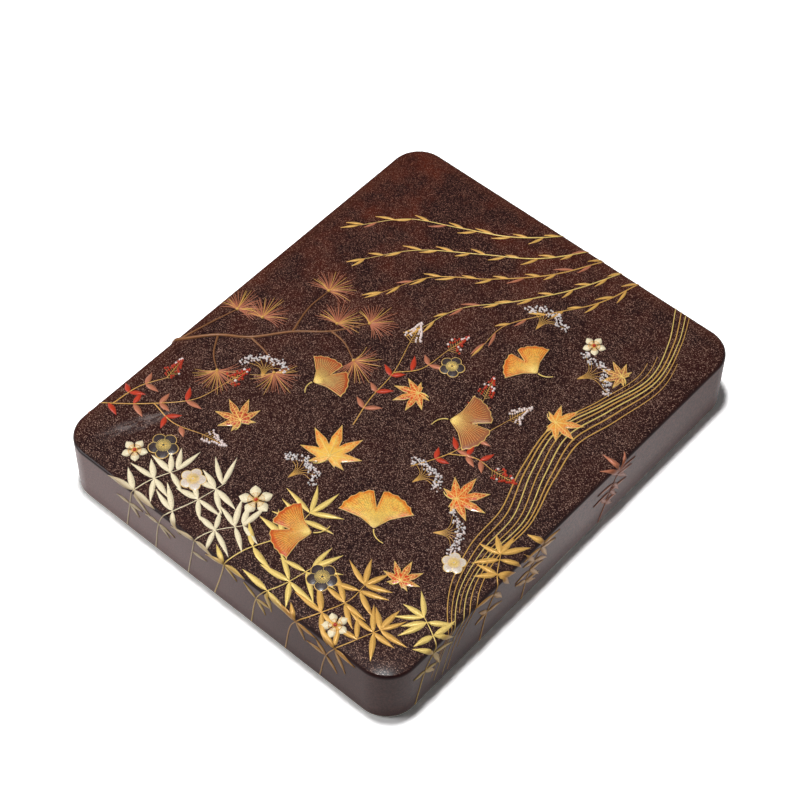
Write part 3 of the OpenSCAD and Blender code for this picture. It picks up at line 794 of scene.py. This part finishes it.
makePine()
makeStream()
makeWillow()
makeBamboo()
makeNandina()
makeSprays()
makeBlossoms()
for paint in paints:
    if strokes[paint]:
        linesFrom(strokes[paint], paint + "Lines", paintOf[paint], "lid")
    if blades[paint].verts:
        bmesh.ops.remove_doubles(blades[paint], verts=blades[paint].verts[:], dist=0.002)
        leaves = pieceFrom(blades[paint], paint + "Leaves", paintOf[paint], "lid", sharp=80)
        thick = leaves.modifiers.new("thickness", "SOLIDIFY")
        thick.thickness = 0.3*mm
        thick.offset = -1
    if beads[paint].verts:
        pieceFrom(beads[paint], paint + "Beads", paintOf[paint], "lid", sharp=80)
print("painted decoration ready")

# raised leaves and blossoms
relief = {
    "field": (85.5, 108.0),   # half of the flat field, which the places of the leaves are shares of
    "edge": 0.32, "crown": 0.62, "soft": 1.8, "buried": 0.3, "net": 0.8,      # mm
}
# places: share of the field across and along, turn in degrees, reach in mm, tone
# inner and outer: the colours of the tones, at the middle and at the rim
# crackle: colour, cell in mm, share
maple = {
    "places": [(0, -0.46, 24, 18, 0.05), (0.66, -0.28, -38, 15, 0.45), (-0.5, -0.57, 66, 13, 0.75),
               (0.07, 0.02, 150, 12, 0.5), (0.73, 0.28, -58, 13, 0.2), (0.77, -0.72, 14, 11, 0.55),
               (0.8, 0.65, 104, 10, 0.95)],
    "inner": [(0, (253, 206, 88)), (0.4, (240, 120, 36)), (0.6, (226, 58, 26)), (1, (160, 112, 74))],
    "outer": [(0, (238, 112, 28)), (0.4, (206, 56, 20)), (0.6, (176, 30, 18)), (1, (166, 66, 34))],
    "crackle": ((250, 196, 110), 1.9, 0.7),
    "pitch": 41,              # degrees between the lobes
    "lobes": (0.55, 0.8, 0.95, 1, 0.95, 0.8, 0.55),
    "notch": 0.36,
}
ginkgo = {
    "places": [(0.47, -0.61, 35, 21, 0.05), (0.3, 0, -60, 20, 0.9), (0.26, -0.78, 120, 19, 0.45),
               (-0.39, -0.23, -20, 17, 0.7), (0.46, 0.43, 80, 17, 0.25)],
    "inner": [(0, (253, 212, 96)), (0.4, (244, 160, 50)), (0.7, (172, 122, 74)), (1, (190, 84, 40))],
    "outer": [(0, (240, 130, 34)), (0.4, (220, 88, 30)), (0.7, (190, 80, 38)), (1, (146, 110, 78))],
    "crackle": ((112, 70, 36), 1.4, 0.35),
    "waves": 10,
    "veins": 27,
}
plum = {
    "places": [(-0.68, -0.87, 0, 7, 0.1), (-0.42, -0.91, 20, 6, 0.9), (0.47, -0.91, 0, 7, 0.2),
               (0.9, -0.52, 30, 5.5, 0.8), (0.09, 0.22, 10, 6, 0.15)],
    "inner": [(0, (58, 50, 54)), (0.4, (76, 64, 66)), (0.6, (214, 190, 170)), (1, (232, 208, 190))],
    "outer": [(0, (34, 28, 32)), (0.4, (48, 38, 40)), (0.6, (226, 214, 196)), (1, (240, 228, 212))],
    "crackle": ((140, 120, 112), 1.1, 0.25),
    "petalAt": 0.56, "petal": 0.44,     # shares of the reach
}


def ray(angle, reach):
    return (reach*sin(radians(angle)), reach*cos(radians(angle)))


def mapleOutline(reach):
    pitch, notch, points = maple["pitch"], maple["notch"]*reach, []
    for i, share in enumerate(maple["lobes"]):
        angle, tip = pitch*(i - 3), reach*share
        points += [ray(angle - pitch/2, notch), ray(angle - pitch/3, 0.58*tip), ray(angle, tip),
                   ray(angle + pitch/3, 0.58*tip)]
    return points + [ray(3.5*pitch, notch), ray(180, notch/3)]


def ginkgoOutline(reach):
    side, waves = ((25, 0.06), (47, 0.4), (57, 0.72)), ginkgo["waves"]
    fan = [ray(60*i/waves, reach*(0.55 if i == 0 else 1 - 0.1*(i/waves)**2 - 0.03*(i % 2)))
           for i in range(-waves, waves + 1)]
    return [ray(-a, r*reach) for a, r in side] + fan + [ray(a, r*reach) for a, r in reversed(side)]


def plumOutline(reach):
    points, at = [], plum["petalAt"]
    for k in range(60):
        turn = radians((k*6 + 36) % 72 - 36)
        far = at*cos(turn) + sqrt(plum["petal"]**2 - (at*sin(turn))**2)
        points.append(ray(-k*6, far*reach))
    return points


def rimDistance(outline, points):
    # how far each point of a leaf is from its outline
    a = np.array(outline)
    run = np.roll(a, -1, axis=0) - a
    p = np.array(points)[:, None, :]
    t = np.clip(((p - a)*run).sum(-1)/(run**2).sum(-1), 0, 1)
    return np.sqrt(((a + t[..., None]*run - p)**2).sum(-1)).min(1)


def crownHeight(distance):
    return relief["edge"] + relief["crown"]*(1 - np.exp(-distance/relief["soft"]))


def raisedLeaf(leaves, outline, at, place):
    # cuts a leaf's face into a fine net, crowns it, draws its edge down, and adds it to the others
    bm = bmesh.new()
    layers = {name: bm.verts.layers.float.new(name) for name in ("rim", "span", "tone")}
    area = sum(p[0]*q[1] - q[0]*p[1] for p, q in zip(outline, outline[1:] + outline[:1]))
    face = bm.faces.new([bm.verts.new((x, y, 0)) for x, y in (outline if area > 0 else outline[::-1])])
    geometry = [face] + face.edges[:] + face.verts[:]
    for axis in (0, 1):
        low, high = min(p[axis] for p in outline), max(p[axis] for p in outline)
        for step in np.arange(low + relief["net"]/2, high, relief["net"]):
            centre = (step, 0, 0) if axis == 0 else (0, step, 0)
            normal = (1, 0, 0) if axis == 0 else (0, 1, 0)
            geometry = bmesh.ops.bisect_plane(bm, geom=geometry, plane_co=centre, plane_no=normal)["geom"]
    verts = [item for item in geometry if isinstance(item, bmesh.types.BMVert)]
    distance = rimDistance(outline, [v.co.xy[:] for v in verts])
    for vert, far, height in zip(verts, distance, crownHeight(distance)):
        vert[layers["rim"]] = far
        vert[layers["span"]] = vert.co.xy.length/at[3]
        vert[layers["tone"]] = at[4]
        vert.co.z = height
    border = [e for e in geometry if isinstance(e, bmesh.types.BMEdge) and len(e.link_faces) == 1]
    skirt = bmesh.ops.extrude_edge_only(bm, edges=border)["geom"]
    skirtVerts = [item for item in skirt if isinstance(item, bmesh.types.BMVert)]
    for vert in skirtVerts:
        vert.co.z = -relief["buried"]
    foot = [e for e in skirt if isinstance(e, bmesh.types.BMEdge) and len(e.link_faces) == 1]
    bmesh.ops.edgeloop_fill(bm, edges=foot)
    bmesh.ops.transform(bm, matrix=place, verts=verts + skirtVerts)
    done = meshOf(bm, "leaf")
    leaves.from_mesh(done)
    bpy.data.meshes.remove(done)


def leafPlace(at):
    where = (at[0]*relief["field"][0], at[1]*relief["field"][1], lid["top"])
    return Matrix.Translation(where) @ Matrix.Rotation(radians(at[2]), 4, "Z")


def veinOn(outline, at, points, foot, tip):
    # a thin gold line that follows a leaf's crown, from one radius to another
    heights = crownHeight(rimDistance(outline, [p[:2] for p in points]))
    radii = [foot + (tip - foot)*k/(len(points) - 1) for k in range(len(points))]
    return [leafPlace(at) @ Vector((p[0], p[1], h + 0.02)) for p, h in zip(points, heights)], radii


def reliefMaterial(name, facts):
    # lacquer relief: a tone of its own for each leaf, a net of cracks and a gold rim
    mat, where = startMaterial(name, Roughness=0.34, Coat_Weight=0.5, Coat_Roughness=0.12)
    tone, span, rim = (attribute(mat, key) for key in ("tone", "span", "rim"))
    crackle, cell, share = facts["crackle"]
    cloudy = noise(where, 320.0, 4.0, 0.6)
    drift = sums("ADD", times(span, 0.6), ramp(cloudy, 0.3, 0.7, -0.3, 0.3))
    drift = sums("ADD", drift, ramp(rim, 0.3, 2.4, 0.45, 0.0))
    base = fade(drift, 0.25, 0.9, palette(tone, facts["inner"]), palette(tone, facts["outer"]))
    cracks = nodeFrom("TexVoronoi", {"Vector": where, "Scale": 1/(cell*mm)},
                      feature="DISTANCE_TO_EDGE").outputs["Distance"]
    line = times(ramp(cracks, 0.03, 0.10, 1.0, 0.0), share)
    base = mixed(line, base, seen(*crackle))
    base = fade(noise(where, 1800.0, 2.0), 0.3, 0.7, base, seen(60, 30, 18), 0.14)
    gilt = ramp(rim, 0.22, 0.32, 1.0, 0.0)
    height = sums("ADD", times(line, -0.6), gilt)
    return finishMaterial(mat, mixed(gilt, base, seen(232, 190, 108)), height, 0.6, 0.12)


def makeRelief(kind, name, facts, outlineOf, veinsOf):
    bm, veins = bmesh.new(), []
    for at in facts["places"]:
        outline = outlineOf(at[3])
        raisedLeaf(bm, outline, at, leafPlace(at))
        veins += [veinOn(outline, at, *vein) for vein in veinsOf(at[3])]
    pieceFrom(bm, name, reliefMaterial(kind + "Lacquer", facts), "lid",
              replaced=(kind + "_inlays",), sharp=50)
    linesFrom(veins, name + "Veins", paintOf["paleGold"], "lid")


def mapleVeins(reach):
    for i, share in enumerate(maple["lobes"]):
        angle, tip = maple["pitch"]*(i - 3), reach*share*0.93
        yield [ray(angle, tip*k/8) for k in range(9)], 0.20, 0.08
        for k in (3, 4, 5, 6):
            for side in (-1, 1):
                start = Vector(ray(angle, tip*k/8))
                end = start + Vector(ray(angle + side*38, tip*0.115*(9 - k)/4.5))
                yield [start, (start + end)/2, end], 0.09, 0.05
    yield [ray(180 + 9*k, reach*0.09*k) for k in range(6)], 0.30, 0.20


def ginkgoVeins(reach):
    for k in range(ginkgo["veins"]):
        angle = -56 + 112*k/(ginkgo["veins"] - 1)
        tip = reach*(0.50 + 0.4*min(1, abs(angle)/7))*(1 - 0.1*(angle/60)**2)
        yield [ray(angle*min(1, 0.55 + 0.45*s/7), tip*(0.10 + 0.90*s/7)) for s in range(8)], 0.11, 0.05
    yield [ray(180 - 7*k, reach*0.08*k) for k in range(6)], 0.32, 0.22


def plumVeins(reach):
    for k in range(5):
        yield [ray(36 + 72*k, reach*t) for t in (0.2, 0.4, 0.6, 0.72)], 0.14, 0.10
        for s in (-2, -1, 0, 1, 2):
            yield [ray(72*k + s*12, reach*t) for t in (0.08, 0.25, 0.48)], 0.09, 0.15


makeRelief("maple", "mapleLeaves", maple, mapleOutline, mapleVeins)
makeRelief("ginkgo", "ginkgoLeaves", ginkgo, ginkgoOutline, ginkgoVeins)
makeRelief("plum", "plumBlossoms", plum, plumOutline, plumVeins)
print("raised leaves ready")


def giltBands(where, colour, bands):
    # gold bands from one place to another along y, in millimetres
    along = axesOf(where)["Y"]
    for first, last in bands:
        within = times(sums("GREATER_THAN", along, first*mm), sums("LESS_THAN", along, last*mm))
        colour = mixed(within, colour, seen(226, 174, 92))
    return colour


def plainLacquer(name, low, high, bands, flakes):
    # dark lacquer with faint brush clouds and a few gold flakes
    mat, where = startMaterial(name, Roughness=0.30, Coat_Weight=0.5, Coat_Roughness=0.08,
                               Specular_IOR_Level=0.1)
    cloudy = noise(where, 130.0, 5.0, 0.6, (1, 0.25, 1))
    flake = flakesIn(where, 2400.0, flakes, 0.22, 0.42)[0]
    colour = mixed(flake, fade(cloudy, 0.3, 0.7, low, high), seen(196, 140, 72))
    return finishMaterial(mat, giltBands(where, colour, bands), cloudy, 0.15, 0.2)


def agedMetal(name, colour, patina, metal, rough, dimple=0.0):
    mat, where = startMaterial(name, Metallic=metal, Roughness=rough)
    cloudy = noise(where, 150.0, 6.0, 0.65)
    height = fine = noise(where, 1500.0, 3.0)
    tone = fade(cloudy, 0.36, 0.66, colour, patina)
    tone = fade(fine, 0.3, 0.7, tone, (0.03, 0.025, 0.02, 1), 0.25)
    if dimple:
        hollows = nodeFrom("TexVoronoi", {"Vector": where, "Scale": 1/(dimple*mm)})
        height = ramp(hollows.outputs["Distance"], 0.0, 0.7)
    return finishMaterial(mat, tone, height, 0.35 if dimple else 0.1, 0.12,
                          ramp(cloudy, 0.3, 0.7, rough - 0.08, rough + 0.16))


def slateMaterial():
    # honed slate: fine grain, pale beds and a slightly uneven shine
    mat, where = startMaterial("slate", Specular_IOR_Level=0.35)
    fine = noise(where, 2200.0, 3.0)
    cloudy = noise(where, 70.0, 6.0, 0.6)
    beds = noise(where, 90.0, 4.0, 0.55, (0.3, 1.0, 4.0))
    tone = fade(cloudy, 0.3, 0.7, seen(66, 68, 74), seen(80, 80, 85))
    tone = fade(beds, 0.5, 0.75, tone, seen(104, 98, 92), 0.4)
    tone = fade(fine, 0.35, 0.65, tone, seen(44, 46, 52), 0.35)
    return finishMaterial(mat, tone, sums("ADD", fine, beds), 0.3, 0.06,
                          ramp(cloudy, 0.3, 0.7, 0.40, 0.58))


def fibreMaterial(name, low, high, scale, stretch, rough, coat=0.0, bands=()):
    # bamboo, horn or hair: streaks that run along y
    mat, where = startMaterial(name, Roughness=rough, Coat_Weight=coat, Coat_Roughness=0.1)
    streaks = noise(where, scale, 5.0, 0.6, (1, stretch, 1))
    tone = fade(streaks, 0.3, 0.7, low, high)
    tone = fade(noise(where, 120.0, 3.0), 0.3, 0.7, tone, low, 0.3)
    return finishMaterial(mat, giltBands(where, tone, bands), streaks, 0.35, 0.08)


def steelMaterial():
    mat, where = startMaterial("steel", Metallic=0.7, Roughness=0.3)
    streaks = noise(where, 1600.0, 3.0, 0.5, (1, 0.05, 1))
    tone = fade(streaks, 0.3, 0.7, seen(190, 190, 192), seen(222, 222, 222))
    return finishMaterial(mat, tone, streaks, 0.2, 0.03, ramp(streaks, 0.3, 0.7, 0.22, 0.38))


def inkMaterial():
    # pressed soot: matt black, with a brown cast and fine grain
    mat, where = startMaterial("ink", Specular_IOR_Level=0.4)
    fine = noise(where, 2600.0, 4.0)
    tone = fade(noise(where, 180.0, 4.0), 0.3, 0.7, seen(32, 31, 33), seen(50, 46, 46))
    return finishMaterial(mat, tone, fine, 0.3, 0.05, ramp(fine, 0.3, 0.7, 0.35, 0.6))


rimMetal = agedMetal("rimMetal", seen(190, 186, 176), seen(142, 135, 122), 0.5, 0.42)
dropperMetal = agedMetal("dropperMetal", seen(176, 140, 104), seen(110, 84, 62), 0.6, 0.42, 0.9)
giltWood = powderPaint("gold")
giltWood.name = "giltWood"
shaftLacquer = fibreMaterial("shaftLacquer", seen(104, 36, 24), seen(150, 62, 36), 500.0, 0.06, 0.3, 0.5,
                             ((-99.6, -98.4), (-97.2, -96.8), (24.6, 25.0), (26.2, 27.4)))
capLacquer = plainLacquer("capLacquer", seen(44, 26, 24), seen(60, 36, 32),
                          ((31.0, 32.2), (33.2, 33.6), (65.8, 66.2), (67.2, 68.4)), 0.12)
knifeLacquer = plainLacquer("knifeLacquer", seen(88, 30, 22), seen(108, 42, 28),
                            ((-99.4, -98.2), (-10.6, -10.2), (-9.2, -8.2), (-6.2, -5.2), (44.4, 45.6)), 0.10)
awlLacquer = plainLacquer("awlLacquer", seen(40, 26, 26), seen(58, 38, 34),
                          ((-99.4, -98.2), (-5.6, -5.2), (-4.2, -3.2), (-1.0, 0.0), (44.4, 45.6)), 0.10)
horn = fibreMaterial("horn", seen(176, 150, 112), seen(232, 218, 184), 300.0, 0.12, 0.28, 0.4)
hair = fibreMaterial("hair", seen(206, 188, 150), seen(242, 234, 214), 2200.0, 0.03, 0.6)
bambooSkin = fibreMaterial("bambooSkin", seen(66, 34, 24), seen(104, 58, 38), 700.0, 0.04, 0.35, 0.4,
                           ((-100.2, -99.0),))
for material, *nodeNames in (
        (wallLacquer, "body_box", "tray_ledges"),
        (rimMetal, "lid_rim", "body_rim", "holder_ring"),
        (insideLacquer, "baseboard", "left_tray", "right_tray"),
        (slateMaterial(), "ink_stone"),
        (dropperMetal, "dropper_vessel", "dropper_cover"),
        (giltWood, "brush_rests"),
        (shaftLacquer, "brush_1_shaft", "brush_2_shaft"),
        (capLacquer, "brush_1_cap", "brush_2_cap"),
        (horn, "brush_1_collar", "brush_2_collar"),
        (knifeLacquer, "knife_handle", "knife_sheath"),
        (awlLacquer, "awl_handle", "awl_cap"),
        (steelMaterial(), "knife_blade", "awl_spike"),
        (bambooSkin, "holder_grip"),
        (inkMaterial(), "ink_stick")):
    for nodeName in nodeNames:
        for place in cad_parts[nodeName].material_slots:
            place.material = material
print("finishes ready")

tuft = {
    "belly": 2.42, "strand": 0.16,      # radii in mm
    "strands": 230,
    "coreWidth": 0.88, "coreLength": 0.96, "coreTip": 0.97,      # shares of the whole tuft
    "rings": 16, "sides": 24,
}


def tuftRadius(share):
    # round at the collar, full in the middle, drawn to a point
    return tuft["belly"]*max(0.0, 1 - share**2.3)**0.95


def makeTuft(brush):
    low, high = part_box(brush + "_hair")
    x, z = (low.x + high.x)/2/mm, (low.z + high.z)/2/mm
    root, tip = low.y/mm, high.y/mm
    core, rings = bmesh.new(), tuft["rings"]
    profile = [core.verts.new((x + tuft["coreWidth"]*tuftRadius(k/rings),
                               root + tuft["coreLength"]*(tip - root)*k/rings, z)) for k in range(rings)]
    edges = [core.edges.new(pair) for pair in zip(profile, profile[1:])]
    edges += [core.edges.new((core.verts.new((x, root, z)), profile[0])),
              core.edges.new((profile[-1], core.verts.new((x, root + tuft["coreTip"]*(tip - root), z))))]
    bmesh.ops.spin(core, geom=core.verts[:] + edges, cent=(x, 0, z), axis=(0, 1, 0), angle=2*pi,
                   steps=tuft["sides"], use_merge=True)
    bmesh.ops.remove_doubles(core, verts=core.verts[:], dist=0.001)
    bmesh.ops.recalc_face_normals(core, faces=core.faces[:])
    pieceFrom(core, brush + "TuftCore", hair, brush, replaced=(brush + "_hair",), sharp=60)
    strands = []
    for k in range(tuft["strands"]):
        out = sqrt(random.uniform(0.35, 1.0))
        around = random.uniform(0, 2*pi)
        end = tip - (tip - root)*0.22*out*random.random()
        points, radii = [], []
        for step in range(8):
            share = step/7
            y = root + (end - root)*share
            r = out*tuftRadius(min(1, (y - root)/(tip - root)))
            points.append((x + r*cos(around), y, z + r*sin(around)))
            radii.append(tuft["strand"]*(1 - 0.75*share**2))
        strands.append((points, radii))
    linesFrom(strands, brush + "Strands", hair, brush)


makeTuft("brush_1")
makeTuft("brush_2")

dropperMotif = {
    # place in mm, turn, reach
    "blossoms": [(-9, 80, 10, 8.0), (10, 86, 30, 5.5), (-14, 58, 50, 6.0), (12, 66, 0, 4.5)],
    "branch": [[(-21, 48), (-16, 58), (-9, 66), (-7, 74), (-9, 80)], [(-9, 66), (-5, 74), (3, 78), (10, 86)],
               [(3, 78), (10, 74), (12, 66)], [(3, 78), (3, 86), (-1, 92)]],
}


def makeDropperMotif():
    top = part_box("dropper_cover")[1].z/mm
    bm = bmesh.new()
    for x, y, turn, reach in dropperMotif["blossoms"]:
        place = Matrix.Translation((x, y, top)) @ Matrix.Rotation(radians(turn), 4, "Z")
        raisedLeaf(bm, plumOutline(reach), (0, 0, 0, reach, 0), place)
    pieceFrom(bm, "dropperBlossoms", dropperMetal, "dropper", sharp=50)
    lines = []
    for twig in dropperMotif["branch"]:
        path = through(twig, 6)
        lines.append(([(p.x, p.y, top + 0.1) for p in path],
                      [0.7 - 0.4*k/(len(path) - 1) for k in range(len(path))]))
    for x, y, turn, reach in dropperMotif["blossoms"]:
        for k in range(15):
            out = towardsAngle(24*k + turn)
            far = reach*(0.34 if k % 3 else 0.42)
            lines.append(([(x, y, top + 0.7), (x + out.x*far, y + out.y*far, top + 0.85)], [0.14, 0.24]))
    linesFrom(lines, "dropperBranch", dropperMetal, "dropper")


makeDropperMotif()

gilt = {       # mm
    "trayInset": 1.1, "trayCorner": 6.2, "trayLine": 0.42, "sunk": 0.1,
    "stickInset": 0.7, "stickRun": (-6.0, 27.0), "stickLine": 0.16,
    "blossomAt": 18.5, "blossom": 3.1, "blossomLine": 0.13,
}


def roundedPath(x0, y0, x1, y1, radius, z, steps=8):
    # a closed path round a rectangle with rounded corners
    path = []
    for cx, cy, start in ((x1 - radius, y1 - radius, 0), (x0 + radius, y1 - radius, 90),
                          (x0 + radius, y0 + radius, 180), (x1 - radius, y0 + radius, 270)):
        for k in range(steps + 1):
            out = towardsAngle(start + 90*k/steps)*radius
            path.append((cx + out.x, cy + out.y, z))
    return path


def makeGiltEdges():
    inset = gilt["trayInset"]
    for tray in ("left_tray", "right_tray"):
        low, high = (corner/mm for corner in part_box(tray))
        path = roundedPath(low.x + inset, low.y + inset, high.x - inset, high.y - inset, gilt["trayCorner"],
                           high.z - gilt["sunk"])
        linesFrom([(path, [gilt["trayLine"]]*len(path))], tray + "Edge", paintOf["gold"], tray,
                  closed=True)
    low, high = (corner/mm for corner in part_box("ink_stick"))
    left, right = low.x + gilt["stickInset"], high.x - gilt["stickInset"]
    near, far = gilt["stickRun"]
    lines = [([(*start, high.z), (*end, high.z)], [gilt["stickLine"]]*2)
             for start, end in (((left, near), (left, far)), ((right, near), (right, far)),
                                ((left, far), (right, far)))]
    linesFrom(lines, "inkStickLines", paintOf["gold"], "ink_stick")
    middle = (low.x + high.x)/2
    blossom = [(middle + x, gilt["blossomAt"] + y, high.z) for x, y in plumOutline(gilt["blossom"])]
    linesFrom([(blossom, [gilt["blossomLine"]]*len(blossom))], "inkStickBlossom", paintOf["gold"],
              "ink_stick", closed=True)


makeGiltEdges()
print("small details ready")
